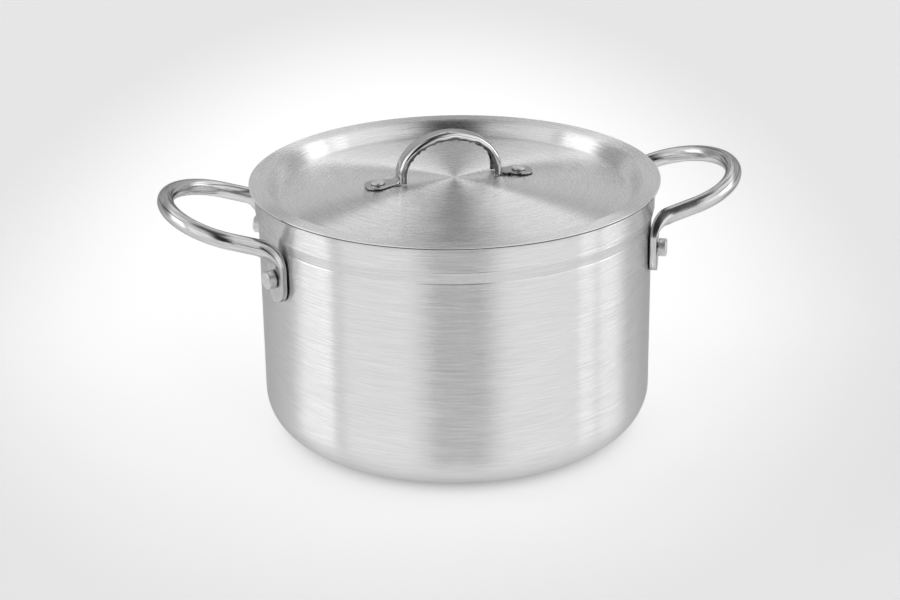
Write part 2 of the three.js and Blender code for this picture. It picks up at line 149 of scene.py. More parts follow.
# Fineness of the meshes
POT_SEGMENTS = 240
RIVET_SEGMENTS = 48
ROD_SIDES = 48
ARC_STEPS = 16
CURVE_STEPS = 32
STRAP_POINTS = 25
ARCH_STEPS = 72
FOOT_POINTS = 20
PROFILE_SPACING = 0.006
SHARP_ANGLE = math.radians(32)

# Metals: grey, roughness and, but for the rivets, the tint of what they mirror at a grazing angle
POT_METAL = (0.84, 0.25, 0.46)
LID_METAL = (0.85, 0.27, 1.0)
ROD_METAL = (0.74, 0.16, 0.42)
STRAP_METAL = (0.78, 0.07, 0.65)
RIVET_METAL = (0.68, 0.38)
NOISE_LOW = 0.3  # a noise seldom leaves this range
NOISE_HIGH = 0.7

# Brushed aluminium: how often its lines change per metre, around the axis and across the lines
HAIR_LINES = (40, 140000)  # too fine to be seen one by one
BRUSH_LINES = (30, 2000)
SCRATCHES = (45, 3000)
HAIR_LEAN = 0.64  # slopes of the hair lines and the brush lines across their length
LINE_LEAN = 0.02
LINE_SWAY = 0.016  # slope of the brush lines along their length
LINE_ROUGHNESS = 0.02  # how far the brush lines raise and lower the roughness
SCRATCH_DARK = 0.07  # how far the scratches lower and raise the grey
SCRATCH_BRIGHT = 0.05
PLAIN_SMOOTHING = 0.6  # share of the roughness that cut edges and grooves are without
PAINTED_SHADE_GREY = 0.10  # of the painted shade under the lid's lip, which stands in for the shadow in the gap there
BRUSH_TURN = 0.25  # of the highlights, as a share of a full turn

# Drawn steel of the rods: how often its marks change along a rod, per metre, and around it
ROD_LINES = (90, 11)
ROD_BANDS = (25, 2.2)
ROD_REFLECTION_STREAKS = (22, 5)
ROD_LINE_SHARE = 0.5  # height of the lines beside that of the bands
ROD_RELIEF = (0.3, 0.0006)  # strength and height
ROD_DARK = 0.14  # how far the lines lower and raise the grey
ROD_BRIGHT = 0.08
ROD_SMOOTHER = 0.05  # how far the bands lower and raise the roughness
ROD_ROUGHER = 0.06
REFLECTION_STREAK_GREY = 0.22  # of the painted reflections, dark streaks along a rod, and the range of a noise in which they end
STREAK_FROM = 0.30
STREAK_TO = 0.39

# Polished steel of the strap: how often its marks change per metre
STRAP_SWELL = 120
STRAP_POLISH = 900
STRAP_WANDER = 160
STRAP_RELIEF = (0.12, 0.0003)  # strength and height
STRAP_DARK = 0.03  # how far the swell lowers and raises the grey
STRAP_BRIGHT = 0.02
STRAP_SMOOTHER = 0.03  # how far the polishing marks lower and raise the roughness
STRAP_ROUGHER = 0.04
PAINTED_LIGHT_SWAY = 0.16  # how far the painted shade lines wander, as a share of the channel's depth
# Painted light: shares of the metal's grey from the face of the strap's channel, at 0, down to its edges, at
# 1
# Dark lines beside the bends and the darker sides are painted shade, and the lighter bands between them are
# painted highlights
STRAP_PAINTED_LIGHT = (
    (0.0, 0.85), (0.03, 0.85), (0.06, 0.25), (0.10, 1.0), (0.24, 1.0),
    (0.29, 0.30), (0.36, 0.95), (0.50, 0.85), (0.60, 0.20), (1.0, 0.15),
)

# Satin aluminium of the rivets: how often its marks change per metre
RIVET_GRAIN = 1800
RIVET_DENTS = 350
RIVET_GRAIN_SHARE = 0.3  # height of the grain beside that of the dents
RIVET_RELIEF = (0.3, 0.0003)  # strength and height
RIVET_DARK = 0.05  # how far the dents lower and raise the grey
RIVET_BRIGHT = 0.03
RIVET_SPREAD = 0.06  # how far the grain lowers and raises the roughness

# Camera: the view from which the pot is pictured
IMAGE_WIDTH = 900
FOCAL_LENGTH = 2141.2  # in pixels of the image
CAMERA_AZIMUTH = math.radians(-10)  # from straight in front, towards the left handle
CAMERA_ELEVATION = math.radians(22.05)
CAMERA_ROLL = math.radians(-0.83)
CAMERA_DISTANCE = 1.333
CAMERA_AIM = Vector((-0.0038, 0, 0.0764))  # in axes that turn with the camera

# Studio: soft light walls stand round the pot, with a dark gap behind the camera and dim rear corners.
# A wall has two azimuths in degrees and a brightness: 0 is towards the camera and 90 to its right. From one
# wall to the next the light eases. The low walls curve with height, so that their edges show as upright lines
# on the brushed wall of the pot.
LOW_WALLS = (
    (-180, -150, 0.57),  # rear wall
    (-136, -115, 0.32),  # dim corner
    (-98, -79, 1.90),  # left strip light
    (-75, -70, 0.60),  # its frame
    (-67, -29, 1.08),  # front left wall
    (-9, 12, 0.03),  # gap behind the camera
    (32, 72, 1.12),  # front right wall
    (73.5, 74.5, 0.95),  # frame of the right strip lights
    (76, 85, 1.75),  # first right strip light
    (89, 90, 1.05),  # frame between the two
    (94, 102, 2.00),  # second right strip light
    (122, 132, 0.43),  # dim corner
    (150, 180, 0.57),  # rear wall
)
HIGH_WALLS = (
    (-180, -175, 0.52),  # rear wall
    (-155, -95, 0.77),  # rear left wall
    (-75, -40, 0.66),  # front left wall
    (-4, 8, 0.04),  # gap behind the camera
    (50, 140, 0.88),  # right wall
    (175, 180, 0.52),  # rear wall
)
CEILING = 0.08
WALL_LIMIT = 2.0  # brightness that the ramps' full white stands for
HIGH_FROM = 26  # elevations in degrees between which the low walls give way to the high ones
HIGH_TO = 50
CEILING_FROM = 62
CEILING_TO = 76

# Floor: pale and matt, with a painted pool of light under the pot. It lies square to the camera's view.
FLOOR_SIZE = 40.0
FLOOR_GREY = 0.60
POOL_MIDDLE = Vector((-0.035, 0.18, 0))
POOL_WIDTH = 0.38  # from its middle to each side
POOL_FRONT = 0.50
POOL_BACK = 0.95
POOL_CORE = 0.45  # share of it that has the full level
POOL_LEVEL = 0.62
POOL_EDGE = 0.385
PAINTED_SHADOW_FROM = 0.085  # distances from the pot's axis between which the pool rises to its level, out of a painted shadow round the pot's base
PAINTED_SHADOW_TO = 0.119
PAINTED_SHADOW_SHARE = 0.3  # of the pool's level left in the painted shadow under the pot
ONE_BOUNCE = 1  # diffuse depth of light that a matt surface has thrown back

# Sizes that follow from the ones above
rim_radius = POT_RADIUS + RIM_STEP
step_top = POT_HEIGHT - RIM_BAND
step_bottom = step_top - STEP_HEIGHT
inner_radius = POT_RADIUS - POT_WALL
lid_radius = rim_radius + LID_OVERHANG
flange_inner = lid_radius - LID_FLANGE
flange_top = POT_HEIGHT + SEAT_GAP + LID_SHEET
floor_radius = flange_inner - LID_SLOPE
floor_edge = flange_top - LID_DEPTH
tab_middle = POT_RADIUS + SEAT_GAP + TAB_THICKNESS / 2
tab_angle = math.asin(HANDLE_WIDTH / 2 / tab_middle)
tab_corner = step_bottom - TAB_BELOW_STEP
handle_rivet_height = tab_corner - TAB_ABOVE_RIVET
arch_reach = ARCH_WIDTH / 2
foot_end = arch_reach + FOOT_LENGTH
lid_rivet_reach = foot_end - FOOT_RIVET_INSET
facing = Matrix.Rotation(CAMERA_AZIMUTH, 4, "Z")

# The turn that carries a handle on the X axis to each side, and its tilt
HANDLES = {"right": (HANDLE_SKEW, HANDLE_TILT), "left": (math.pi - HANDLE_SKEW, 0)}
SIDES = (-1, 1)
FOOT_SIDES = {"right": 1, "left": -1}


def mix(low, high, part):
    return low + (high - low) * part


def ease(part):
    """A smooth step from 0 to 1."""
    part = min(max(part, 0), 1)
    return part * part * (3 - 2 * part)


def signed_power(value, exponent):
    return math.copysign(abs(value) ** exponent, value)


# Meshes

def add_piece(name, vertices, faces, values=None, grain=None):
    """A smooth mesh, with values that the finishes read.

    Values are lists by name, with one number for each vertex. Grain is a vertex's place on a rod that is laid
    out straight: the length along it, and two numbers for the place in its section.
    """
    mesh = bpy.data.meshes.new(name)
    mesh.from_pydata(vertices, [], faces)
    mesh.validate()
    mesh.shade_smooth()
    mesh.set_sharp_from_angle(angle=SHARP_ANGLE)
    for key, numbers in (values or {}).items():
        attribute = mesh.attributes.new(key, "FLOAT", "POINT")
        attribute.data.foreach_set("value", numbers)
    if grain is not None:
        attribute = mesh.attributes.new("grain", "FLOAT_VECTOR", "POINT")
        attribute.data.foreach_set("vector", [value for place in grain for value in place])
    piece = bpy.data.objects.new(name, mesh)
    bpy.context.scene.collection.objects.link(piece)
    return piece


def rounded(corners):
    """Points of an outline whose corners are rounded. A corner is a place and the radius of its arc."""
    points = []
    for index, (x, y, radius) in enumerate(corners):
        corner = Vector((x, y))
        if radius == 0:
            points.append(corner)
            continue
        before = (Vector(corners[index - 1][:2]) - corner).normalized()
        after = (Vector(corners[index + 1][:2]) - corner).normalized()
        half = before.angle(after) / 2
        middle = corner + (before + after).normalized() * radius / math.sin(half)
        first = corner + before * radius / math.tan(half) - middle
        last = corner + after * radius / math.tan(half) - middle
        turn = first.angle_signed(last)
        for step in range(ARC_STEPS + 1):
            points.append(middle + Matrix.Rotation(-turn * step / ARC_STEPS, 2) @ first)
    return points


def spaced(points, spacing):
    """The same line with points added where two are further apart than the spacing."""
    result = [points[0]]
    for before, after in zip(points, points[1:]):
        pieces = max(1, math.ceil((after - before).length / spacing))
        result += [before.lerp(after, step / pieces) for step in range(1, pieces + 1)]
    return result


def turned(name, profile, segments, marks=None):
    """A closed body turned about Z. The profile of radius and height starts and ends on the axis.

    Marks are lists by name, with one number for each point of the profile. The length along it is added.
    """
    lengths = [0.0]
    for before, after in zip(profile, profile[1:]):
        lengths.append(lengths[-1] + (after - before).length)
    rings = len(profile) - 2
    vertices = [(0, 0, profile[0].y)]
    for point in profile[1:-1]:
        for segment in range(segments):
            angle = 2 * math.pi * segment / segments
            vertices.append((point.x * math.cos(angle), point.x * math.sin(angle), point.y))
    vertices.append((0, 0, profile[-1].y))
    values = {}
    for key, numbers in {"along": lengths, **(marks or {})}.items():
        inside = [number for number in numbers[1:-1] for segment in range(segments)]
        values[key] = numbers[:1] + inside + numbers[-1:]
    last = len(vertices) - 1
    faces = []
    for segment in range(segments):
        after = (segment + 1) % segments
        faces.append((0, 1 + after, 1 + segment))
        for ring in range(rings - 1):
            low = 1 + ring * segments
            high = low + segments
            faces.append((low + segment, low + after, high + after, high + segment))
        low = 1 + (rings - 1) * segments
        faces.append((low + segment, low + after, last))
    return add_piece(name, vertices, faces, values)


def lofted(name, rings, cap):
    """A closed body over rings of equal counts of points. Cap gives the faces of an end from its count."""
    count = len(rings[0])
    vertices = [point for ring in rings for point in ring]
    faces = []
    for ring in range(len(rings) - 1):
        low = ring * count
        for side in range(count):
            after = (side + 1) % count
            faces.append((low + side, low + after, low + count + after, low + count + side))
    last = (len(rings) - 1) * count
    for face in cap(count):
        faces.append(tuple(reversed(face)))
        faces.append(tuple(last + corner for corner in face))
    grain = []
    length = 0.0
    for before, ring in zip(rings[:1] + rings, rings):
        length += (ring[0] - before[0]).length
        for side in range(count):
            angle = 2 * math.pi * side / count
            grain.append((length, math.cos(angle), math.sin(angle)))
    return add_piece(name, vertices, faces, grain=grain)


def fan_cap(count):
    return [tuple(range(count))]


def strip_cap(count):
    """Quads across a ring whose second half runs back beside its first."""
    half = count // 2
    return [(side, side + 1, count - 2 - side, count - 1 - side) for side in range(half - 1)]


def bezier(points, part):
    """A point and the direction on a curve with any number of control points."""
    while len(points) > 2:
        points = [before.lerp(after, part) for before, after in zip(points, points[1:])]
    return points[0].lerp(points[1], part), (points[1] - points[0]).normalized()


# Pot body

def make_pot():
    inner_corner = BASE_CORNER - POT_WALL
    rim_inner = rim_radius - POT_WALL
    corners = [
        (0, 0, 0),
        (POT_RADIUS, 0, BASE_CORNER),
        (POT_RADIUS, step_bottom - GROOVE_HEIGHT - GROOVE_BORDER, 0),
        (POT_RADIUS, step_bottom - GROOVE_HEIGHT, 0),
        (POT_RADIUS - GROOVE_DEPTH, step_bottom, 0),
        (POT_RADIUS, step_bottom, 0),
        (rim_radius - GROOVE_BORDER * RIM_STEP / STEP_HEIGHT, step_top - GROOVE_BORDER, 0),
        (rim_radius, step_top, 0),
        (rim_radius - LINE_DEPTH, step_top + LINE_HEIGHT / 2, 0),
        (rim_radius, step_top + LINE_HEIGHT, 0),
        (rim_radius, step_top + LINE_HEIGHT + GROOVE_BORDER, 0),
        (rim_radius, POT_HEIGHT, RIM_ROUND),
        (rim_inner, POT_HEIGHT, RIM_ROUND),
        (rim_inner, step_top, BAND_ROUND),
        (inner_radius, step_bottom, CREASE_ROUND),
        (inner_radius, BASE_THICKNESS, inner_corner),
        (0, BASE_THICKNESS, 0),
    ]
    profile = spaced(rounded(corners), PROFILE_SPACING)
    bottom = Vector((POT_RADIUS - GROOVE_DEPTH, step_bottom))
    plain = [float((point - bottom).length < GROOVE_DEPTH / 2) for point in profile]
    return turned("spun_pot", profile, POT_SEGMENTS, {"plain": plain})


# Lid

def floor_height(x):
    """Height of the upper face of the lid's crowned floor at a distance from the middle."""
    return floor_edge + LID_CROWN * (1 - (x / floor_radius) ** 2)


def floor_slope(x):
    return -2 * LID_CROWN * x / floor_radius ** 2


def make_lid():
    top = []
    for step in range(CURVE_STEPS):
        radius = floor_radius * step / CURVE_STEPS
        top.append(Vector((radius, floor_height(radius))))
    pull = LID_SLOPE * LID_SLOPE_EASE
    slope = [
        Vector((floor_radius, floor_edge)),
        Vector((floor_radius + pull, floor_edge + pull * floor_slope(floor_radius))),
        Vector((flange_inner - pull, flange_top)),
        Vector((flange_inner, flange_top)),
    ]
    for step in range(CURVE_STEPS):
        part = step / CURVE_STEPS
        ripple = RIPPLE_HEIGHT * math.sin(math.pi * part) * math.sin(2 * math.pi * RIPPLE_COUNT * part)
        top.append(bezier(slope, part)[0] + Vector((0, ripple)))
    edge = Vector((lid_radius - LID_SHEET / 2, flange_top))
    top += spaced([slope[-1], edge], LID_SHEET)
    under = []
    for index, point in enumerate(top):
        direction = (top[min(index + 1, len(top) - 1)] - top[max(index - 1, 0)]).normalized()
        normal = Vector((-direction.y, direction.x)) if index else Vector((0, 1))
        under.append(point - normal * LID_SHEET)
    painted_shade_face = [
        Vector((lid_radius - 2 * LIP_SLANT, flange_top - LID_SHEET)),
        Vector((lid_radius - LIP_SLANT, flange_top - LIP_FACE)),
    ]
    corners = [
        (lid_radius - LIP_SLANT, flange_top - LIP_FACE + SHADE_START, 0),
        (lid_radius, flange_top, LIP_ROUND),
        (edge.x, edge.y, 0),
    ]
    lip = rounded(corners)[:-1]
    plain = [0.0] * len(under) + [1.0] * len(painted_shade_face + lip) + [0.0] * len(top)
    # painted shade: the lower half of the lip's cut face and the underside next to it are dark, for the
    # shadow under the lid's edge
    dark = SHADE_REACH + len(painted_shade_face)
    shade = [0.0] * (len(under) - SHADE_REACH) + [1.0] * dark + [0.0] * len(lip + top)
    marks = {"plain": plain, "shade": shade}
    return turned("pressed_lid", under + painted_shade_face + lip + top[::-1], POT_SEGMENTS, marks)


# Side handles

def tab_direction(side):
    return Vector((math.cos(tab_angle), side * math.sin(tab_angle), 0))


def tilt_lift(across, tilt):
    """How far a tilted handle is raised at a distance across it, from its middle."""
    return -across * math.tan(tilt)


def rivet_height(side, tilt):
    return handle_rivet_height + tilt_lift(side * HANDLE_WIDTH / 2, tilt)


def rod_ring(middle, tangent, outward, roundness, half_width):
    """A ring around the rod: flat on the tab, round on the loop. It stays clear of the wall."""
    width = mix(half_width, ROD_DIAMETER / 2, roundness)
    thickness = mix(TAB_THICKNESS / 2, ROD_DIAMETER / 2, roundness)
    power = 2 / mix(TAB_EXPONENT, 2, roundness)
    across = tangent.cross(outward).normalized()
    out = across.cross(tangent)
    ring = []
    for side in range(ROD_SIDES):
        angle = (side + 0.5) * 2 * math.pi / ROD_SIDES
        point = middle + out * thickness * signed_power(math.cos(angle), power)
        point += across * width * signed_power(math.sin(angle), power)
        behind = POT_RADIUS + SEAT_GAP - point.dot(outward)
        if behind > 0:
            point += outward * behind
        ring.append(point)
    return ring


def half_handle_rings(side, tilt):
    """Rings from a tab's rounded lower end, up and round to the middle of the loop."""
    outward = tab_direction(side)
    tab_x = tab_middle * math.cos(tab_angle)
    y = side * HANDLE_WIDTH / 2
    outer_x = POT_RADIUS + HANDLE_REACH
    end_x = outer_x - HANDLE_END_DEPTH
    half_width = TAB_WIDTH / 2

    def on_loop(x, across):
        rise = (x - tab_x) * math.tan(HANDLE_RISE)
        return Vector((x, across, tab_corner + rise + tilt_lift(across, tilt)))

    tab_end = Vector((tab_x, y, rivet_height(side, tilt) - TAB_BELOW_RIVET))
    bend_start = Vector((tab_x, y, tab_corner - HANDLE_BEND + tilt_lift(y, tilt)))
    bend_end = on_loop(tab_x + HANDLE_BEND * math.cos(HANDLE_RISE), y)
    bend = [bend_start, on_loop(tab_x, y), bend_end]
    leg_end = on_loop(end_x, y)
    end = [
        leg_end,
        on_loop(end_x + HANDLE_END_DEPTH * QUARTER_ELLIPSE, y),
        on_loop(outer_x, y * QUARTER_ELLIPSE),
        on_loop(outer_x, 0),
    ]
    up = Vector((0, 0, 1))
    rings = []
    for step in range(1, ARC_STEPS + 1):
        angle = math.pi / 2 * step / ARC_STEPS
        middle = tab_end + up * half_width * (1 - math.cos(angle))
        rings.append(rod_ring(middle, up, outward, 0, half_width * math.sin(angle)))
    for step in range(CURVE_STEPS + 1):
        part = step / CURVE_STEPS
        point, tangent = bezier(bend, part)
        rings.append(rod_ring(point, tangent, outward, ease(part), half_width))
    for step in range(1, ARC_STEPS):
        point, tangent = bezier([bend_end, leg_end], step / ARC_STEPS)
        rings.append(rod_ring(point, tangent, outward, 1, half_width))
    for step in range(CURVE_STEPS + 1):
        point, tangent = bezier(end, step / CURVE_STEPS)
        rings.append(rod_ring(point, tangent, outward, 1, half_width))
    return rings


def make_side_handle(name):
    turn, tilt = HANDLES[name]
    front = half_handle_rings(-1, tilt)
    rear = half_handle_rings(1, tilt)
    rings = front + [ring[::-1] for ring in reversed(rear[:-1])]
    handle = lofted("rod_handle_" + name, rings, fan_cap)
    handle.data.transform(Matrix.Rotation(turn, 4, "Z"))
    return handle


# Rivets

def rivet_profile(shank, grip, head, head_height, head_round, dome, clinch, clinch_height):
    """Along Z, from the inner head's seat at 0. The outer head is slightly domed."""
    corners = [
        (0, -clinch_height, 0),
        (clinch / 2, -clinch_height * CLINCH_SHOULDER, clinch_height / 2),
        (clinch / 2, 0, 0),
        (shank / 2, 0, 0),
        (shank / 2, grip, 0),
        (head / 2, grip, 0),
        (head / 2, grip + head_height - dome, head_round),
        (0, grip + head_height, 0),
    ]
    return rounded(corners)


def stand_on(piece, point, direction):
    turn = Vector((0, 0, 1)).rotation_difference(direction).to_matrix().to_4x4()
    piece.data.transform(Matrix.Translation(point) @ turn)


def make_handle_rivet(name, side):
    hollow = inner_radius - math.sqrt(inner_radius ** 2 - (HANDLE_RIVET_CLINCH / 2) ** 2)
    inner_seat = inner_radius - hollow - SEAT_GAP
    outer_seat = POT_RADIUS + SEAT_GAP + TAB_THICKNESS + HANDLE_RIVET_STANDOFF
    profile = rivet_profile(
        HANDLE_RIVET_SHANK,
        outer_seat - inner_seat,
        HANDLE_RIVET_HEAD,
        HANDLE_RIVET_HEAD_HEIGHT,
        HANDLE_RIVET_ROUND,
        HANDLE_RIVET_DOME,
        HANDLE_RIVET_CLINCH,
        HANDLE_RIVET_CLINCH_HEIGHT,
    )
    turn, tilt = HANDLES[name]
    direction = tab_direction(side)
    direction.rotate(Matrix.Rotation(turn, 3, "Z"))
    place = name + ("_front" if direction.y < 0 else "_rear")
    rivet = turned("tab_rivet_" + place, profile, RIVET_SEGMENTS)
    stand_on(rivet, direction * inner_seat + Vector((0, 0, rivet_height(side, tilt))), direction)
    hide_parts("handle_rivet_" + place)
    return rivet


def make_lid_rivet(name):
    profile = rivet_profile(
        LID_RIVET_SHANK,
        LID_SHEET + STRAP_SHEET + LID_RIVET_GAPS * SEAT_GAP,
        LID_RIVET_HEAD,
        LID_RIVET_HEAD_HEIGHT,
        LID_RIVET_ROUND,
        LID_RIVET_DOME,
        LID_RIVET_CLINCH,
        LID_RIVET_CLINCH_HEIGHT,
    )
    x = FOOT_SIDES[name] * lid_rivet_reach - ARCH_OFFSET
    normal = Vector((-floor_slope(x), -floor_slope(ARCH_BACK), 1)).normalized()
    rivet = turned("foot_rivet_" + name, profile, RIVET_SEGMENTS)
    seat = Vector((x, ARCH_BACK, floor_height(math.hypot(x, ARCH_BACK))))
    stand_on(rivet, seat - normal * (LID_SHEET + SEAT_GAP), normal)
    rivet.data.transform(Matrix.Rotation(LID_TURN, 4, "Z"))
    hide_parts("lid_rivet_" + name)
    return rivet


# Lid handle

def channel_drop(part):
    """How far the channel's outer face lies below its crown, at a share of its half width."""
    return STRAP_DEPTH * (1 - (1 - min(abs(part), 1) ** STRAP_EXPONENT) ** (1 / STRAP_EXPONENT))


def crinkle(angle):
    """Waves of the channel's edges, which buckle where the arch bends most."""
    shoulders = math.sin(2 * angle) ** 2
    waves = sum(share * math.sin(count * angle + start) for count, start, share in CRINKLE_WAVES)
    return CRINKLE_HEIGHT * waves * mix(CRINKLE_LEAST, 1, shoulders)


def channel_ring(middle, out, wave):
    """A ring around the channel's sheet. The wave moves its two edges."""
    across = Vector((0, 1, 0))
    outer = []
    for step in range(STRAP_POINTS):
        angle = mix(STRAP_EDGE, math.pi - STRAP_EDGE, step / (STRAP_POINTS - 1))
        side = signed_power(math.cos(angle), 2 / STRAP_EXPONENT)
        rise = math.sin(angle) ** (2 / STRAP_EXPONENT)
        edge = ease(1 - CRINKLE_REACH * rise)
        x = STRAP_WIDTH / 2 * side + CRINKLE_SPREAD * edge * math.copysign(wave, side)
        y = STRAP_DEPTH * (rise - 1) + edge * wave
        outer.append(Vector((x, y)))
    ring = [middle + across * point.x + out * point.y for point in outer]
    for index in reversed(range(STRAP_POINTS)):
        direction = outer[min(index + 1, STRAP_POINTS - 1)] - outer[max(index - 1, 0)]
        normal = Vector((direction.y, -direction.x)).normalized()
        point = outer[index] - normal * STRAP_SHEET
        ring.append(middle + across * point.x + out * point.y)
    return ring


def foot_top(reach, side):
    return floor_height(side * reach - ARCH_OFFSET) + SEAT_GAP + STRAP_SHEET


def spring_height(side):
    """Height at which the arch springs from a leg."""
    return foot_top(arch_reach + FOOT_BEND, side) + FOOT_BEND


def arch_top():
    return max(foot_top(arch_reach + FOOT_BEND, side) for side in SIDES) + ARCH_HEIGHT


def make_arch():
    """The channel, from the cut end of one leg up over the arch to the other."""
    rings = []
    springs = {side: spring_height(side) for side in SIDES}
    cuts = {side: floor_height(side * arch_reach - ARCH_OFFSET) + LEG_CLEARANCE for side in SIDES}

    def leg_ring(side, part):
        height = mix(cuts[side], springs[side], part)
        middle = Vector((side * arch_reach - ARCH_OFFSET, ARCH_BACK, height))
        rings.append(channel_ring(middle, Vector((side, 0, 0)), 0))

    for step in range(LEG_STEPS):
        leg_ring(-1, step / LEG_STEPS)
    for step in range(ARCH_STEPS + 1):
        angle = math.pi * (1 - step / ARCH_STEPS)
        side = 1 if math.cos(angle) > 0 else -1
        height = arch_top() - springs[side]
        x = arch_reach * math.cos(angle) - ARCH_OFFSET
        middle = Vector((x, ARCH_BACK, springs[side] + height * math.sin(angle)))
        out = Vector((height * math.cos(angle), 0, arch_reach * math.sin(angle))).normalized()
        rings.append(channel_ring(middle, out, crinkle(angle) * math.sin(angle)))
    for step in reversed(range(LEG_STEPS)):
        leg_ring(1, step / LEG_STEPS)
    return lofted("strap_handle", rings, strip_cap)


def foot_half_width(distance):
    """Half width of a foot at a distance from its end: wide around the rivet, narrow at the neck."""
    wide = FOOT_WIDTH / 2
    if distance < wide:
        return wide * (1 - (1 - distance / wide) ** FOOT_EXPONENT) ** (1 / FOOT_EXPONENT)
    part = (distance - wide) / (FOOT_LENGTH - FOOT_BEND - wide)
    return mix(wide, NECK_WIDTH / 2, ease(part))


def plate_ring(middle, out, half_width, sheet, channel):
    """A ring around a strip. Channel, from 0 to 1, bends its section to the channel's face."""
    across = Vector((0, 1, 0))
    upper = []
    lower = []
    for step in range(FOOT_POINTS):
        side = mix(-1, 1, step / (FOOT_POINTS - 1)) * half_width
        drop = channel * channel_drop(side / (STRAP_WIDTH / 2))
        upper.append(middle + across * side - out * drop)
        lower.append(middle + across * side - out * (drop + sheet))
    return upper + lower[::-1]


def make_foot(side):
    """A spade-shaped foot that bends up into the channel's face."""
    rings = []

    def add_ring(reach, height, out, half_width, sheet, channel):
        middle = Vector((side * reach - ARCH_OFFSET, ARCH_BACK, height))
        rings.append(plate_ring(middle, out, half_width, sheet, channel))

    def flat_ring(distance):
        reach = foot_end - distance
        slope = floor_slope(side * reach - ARCH_OFFSET)
        out = Vector((-slope, 0, 1)).normalized()
        add_ring(reach, foot_top(reach, side), out, foot_half_width(distance), STRAP_SHEET, 0)

    wide = FOOT_WIDTH / 2
    for step in range(1, ARC_STEPS + 1):
        flat_ring(wide * (1 - math.cos(math.pi / 2 * step / ARC_STEPS)))
    for step in range(1, ARC_STEPS + 1):
        flat_ring(mix(wide, FOOT_LENGTH - FOOT_BEND, step / ARC_STEPS))
    bend_start = arch_reach + FOOT_BEND
    base = foot_top(bend_start, side)
    for step in range(1, ARC_STEPS + 1):
        part = step / ARC_STEPS
        angle = FOOT_TURN * part
        reach = bend_start - FOOT_BEND * math.sin(angle)
        height = base + FOOT_BEND * (1 - math.cos(angle))
        out = Vector((side * math.sin(angle), 0, math.cos(angle)))
        half_width = mix(NECK_WIDTH, TAIL_WIDTH, part) / 2
        add_ring(reach, height, out, half_width, mix(STRAP_SHEET, TAIL_SHEET, part), ease(part))
    reach -= FOOT_TAIL * math.cos(FOOT_TURN)
    height += FOOT_TAIL * math.sin(FOOT_TURN)
    add_ring(reach, height, out, TAIL_WIDTH / 2, TAIL_SHEET, 1)
    if side > 0:
        rings = [ring[::-1] for ring in rings]
    return lofted("foot", rings, strip_cap)


def join_to(piece, other):
    """Unites another closed body with a piece."""
    union = piece.modifiers.new("union", "BOOLEAN")
    union.operation = "UNION"
    union.solver = "EXACT"
    union.object = other
    graph = bpy.context.evaluated_depsgraph_get()
    mesh = bpy.data.meshes.new_from_object(piece.evaluated_get(graph))
    piece.modifiers.clear()
    piece.data = mesh
    bpy.data.objects.remove(other)


def channel_depth(point):
    """How deep a point lies under the channel's outer face, as a share of the channel's depth.

    A foot's underside counts as deep, which paints shade on its cut edges as a dark lower line.
    """
    across = point.x + ARCH_OFFSET
    side = 1 if across > 0 else -1
    if abs(across) > arch_reach:
        return float(point.z < foot_top(abs(across), side) - STRAP_SHEET / 2)
    spring = spring_height(side)
    if point.z < spring:
        return (arch_reach - abs(across)) / STRAP_DEPTH
    up = point.z - spring
    height = arch_top() - spring
    share = math.hypot(across / arch_reach, up / height)
    return math.hypot(across, up) * (1 / share - 1) / STRAP_DEPTH


def make_lid_handle():
    handle = make_arch()
    for side in SIDES:
        join_to(handle, make_foot(side))
    depths = [min(max(channel_depth(vertex.co), 0), 1) for vertex in handle.data.vertices]
    handle.data.attributes.new("depth", "FLOAT", "POINT").data.foreach_set("value", depths)
    handle.data.shade_smooth()
    handle.data.set_sharp_from_angle(angle=SHARP_ANGLE)
    handle.data.transform(Matrix.Rotation(LID_TURN, 4, "Z"))
    return handle


# Nodes of the materials

def add_node(tree, kind, inputs=None, **settings):
    """A new node. Inputs are sockets to join to it, or values."""
    node = tree.nodes.new(kind)
    for name, value in settings.items():
        setattr(node, name, value)
    set_inputs(tree, node, inputs or {})
    return node


def set_inputs(tree, node, inputs):
    for key, value in inputs.items():
        set_socket(tree, node.inputs[key], value)


def set_socket(tree, socket, value):
    """Joins another node's output to a socket, or sets its value."""
    if isinstance(value, bpy.types.NodeSocket):
        tree.links.new(value, socket)
    else:
        socket.default_value = value


def calculate(tree, operation, first, second=0):
    return add_node(tree, "ShaderNodeMath", {0: first, 1: second}, operation=operation).outputs[0]


def vectors(tree, operation, first, second):
    return add_node(tree, "ShaderNodeVectorMath", {0: first, 1: second}, operation=operation).outputs[0]


def scaled(tree, vector, factor):
    return add_node(tree, "ShaderNodeVectorMath", {0: vector, "Scale": factor}, operation="SCALE").outputs[0]


def length_of(tree, vector):
    return add_node(tree, "ShaderNodeVectorMath", {0: vector}, operation="LENGTH").outputs["Value"]


def parts_of(tree, vector):
    return add_node(tree, "ShaderNodeSeparateXYZ", {0: vector}).outputs


def attribute(tree, name, output="Fac"):
    return add_node(tree, "ShaderNodeAttribute", attribute_name=name).outputs[output]


def object_place(tree):
    return add_node(tree, "ShaderNodeTexCoord").outputs["Object"]


def noise(tree, vector, detail, scale=1):
    node = add_node(tree, "ShaderNodeTexNoise", {"Vector": vector, "Scale": scale, "Detail": detail})
    return node.outputs["Fac"]


def between(tree, fraction, low, high):
    """A value that runs from low to high as a noise runs over its middle range."""
    inputs = {"Value": fraction, "From Min": NOISE_LOW, "From Max": NOISE_HIGH, "To Min": low, "To Max": high}
    return add_node(tree, "ShaderNodeMapRange", inputs).outputs["Result"]


def eased(tree, value, low, high, first=0, last=1):
    """A smooth step from a first number to a last one as a value runs from low to high."""
    inputs = {"Value": value, "From Min": low, "From Max": high, "To Min": first, "To Max": last}
    return add_node(tree, "ShaderNodeMapRange", inputs, interpolation_type="SMOOTHSTEP").outputs["Result"]


